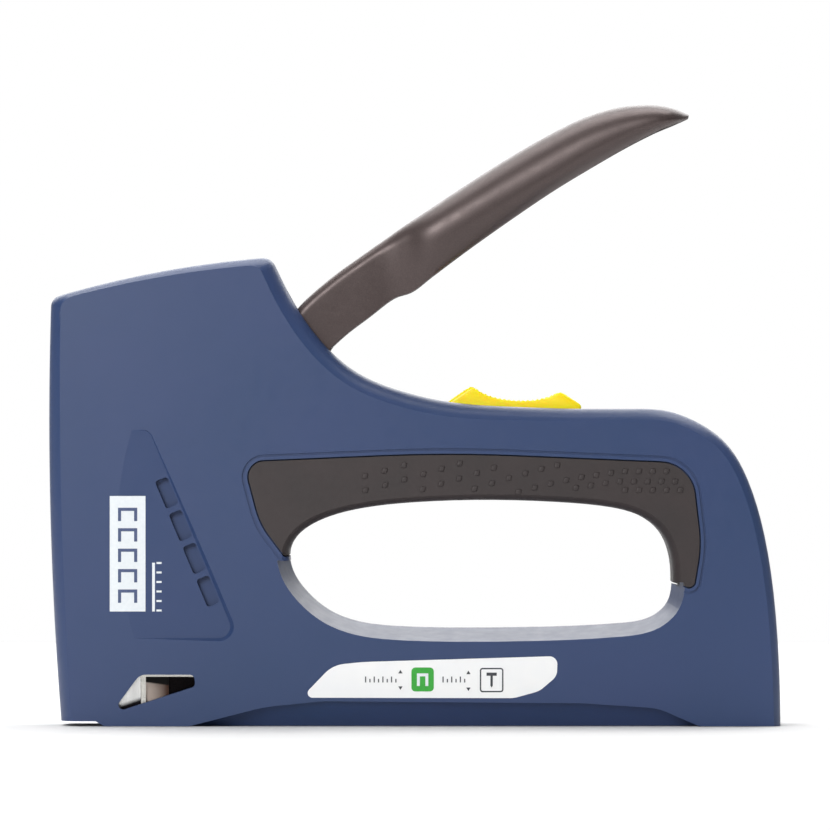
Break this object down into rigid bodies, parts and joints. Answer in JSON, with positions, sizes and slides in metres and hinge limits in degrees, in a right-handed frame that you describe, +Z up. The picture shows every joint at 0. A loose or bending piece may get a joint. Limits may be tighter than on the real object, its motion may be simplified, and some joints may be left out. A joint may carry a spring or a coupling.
{
  "type": "staple gun",
  "caption": "Lever-operated hand staple gun with a blue two-piece casing, closed hand opening, soft grip, sliding force selector and a pull-out base magazine.",
  "frame": {"origin": "on the flat base, under the middle of the tool's length and thickness", "axes": "+X from the nose to the rear end of the base, +Y across the tool, +Z up from the base"},
  "size_m": [0.1866, 0.034, 0.1586],
  "materials": {
    "casing_blue": "satin metallic blue paint",
    "grip_rubber": "matte soft grip",
    "lever_coat": "dark satin coat",
    "slider_yellow": "satin",
    "label_white": "semi-gloss film",
    "magazine_chrome": "polished plate",
    "steel": "brushed",
    "spring_steel": "drawn wire",
    "screw_steel": "zinc plated",
    "inner_plastic": "moulded",
    "bumper_rubber": "matte"
  },
  "bodies": {
    "housing": {"housing_left": "casing_blue", "housing_right": "casing_blue", "grip_insert": "grip_rubber", "label_left": "label_white", "housing_screws": "screw_steel", "nose_plate": "steel", "nose_guide": "magazine_chrome", "bumper": "bumper_rubber", "spring_seat": "inner_plastic", "main_spring": "spring_steel", "lever_pin": "steel", "pivot_washers": "steel", "lever_return_spring": "spring_steel", "detent_spring": "spring_steel", "magazine_channel": "magazine_chrome"},
    "lever": {"lever": "lever_coat", "lever_arm_left": "steel", "lever_arm_right": "steel", "lever_rivets": "steel", "hook_pin": "steel"},
    "hook": {"lift_hook": "steel", "hook_spring": "spring_steel"},
    "hammer": {"hammer": "steel", "driver_blade": "steel", "blade_rivets": "steel"},
    "slider": {"force_slider": "slider_yellow", "slider_link": "steel", "trip_wedge": "inner_plastic"},
    "feed": {"feed_rail": "steel", "feed_rod": "steel", "feed_spring": "spring_steel", "rear_knob": "inner_plastic", "knob_clip": "spring_steel"},
    "pusher": {"pusher": "magazine_chrome"}
  },
  "joints": [
    {"name": "lever_pivot", "type": "hinge", "parent": "housing", "child": "lever", "pos_m": [-0.041, 0, 0.08], "axis": [0, 1, 0], "range_deg": [0, 28], "stiffness_Nm_per_rad": 2, "springref_deg": -20.05},
    {"name": "hammer_slide", "type": "slide", "parent": "housing", "child": "hammer", "axis": [0, 0, 1], "range_m": [0, 0.0131], "deforming": ["main_spring"]},
    {"name": "hook_pivot", "type": "hinge", "parent": "lever", "child": "hook", "pos_m": [-0.061, 0, 0.0845], "axis": [0, -1, 0], "range_deg": [0, 20], "stiffness_Nm_per_rad": 0.05, "springref_deg": -20.05},
    {"name": "force_slide", "type": "slide", "parent": "housing", "child": "slider", "axis": [0.9982, 0, -0.0593], "range_m": [-0.004, 0.004]},
    {"name": "feed_slide", "type": "slide", "parent": "housing", "child": "feed", "axis": [1, 0, 0], "range_m": [0, 0.12]},
    {"name": "pusher_slide", "type": "slide", "parent": "feed", "child": "pusher", "axis": [1, 0, 0], "range_m": [0, 0.1], "stiffness_N_per_m": 60, "springref_m": -0.12, "deforming": ["feed_spring"]}
  ],
  "couplings": [
    {"joint": "hammer_slide", "follows": "lever_pivot", "m_per_rad": 0.02673}
  ]
}
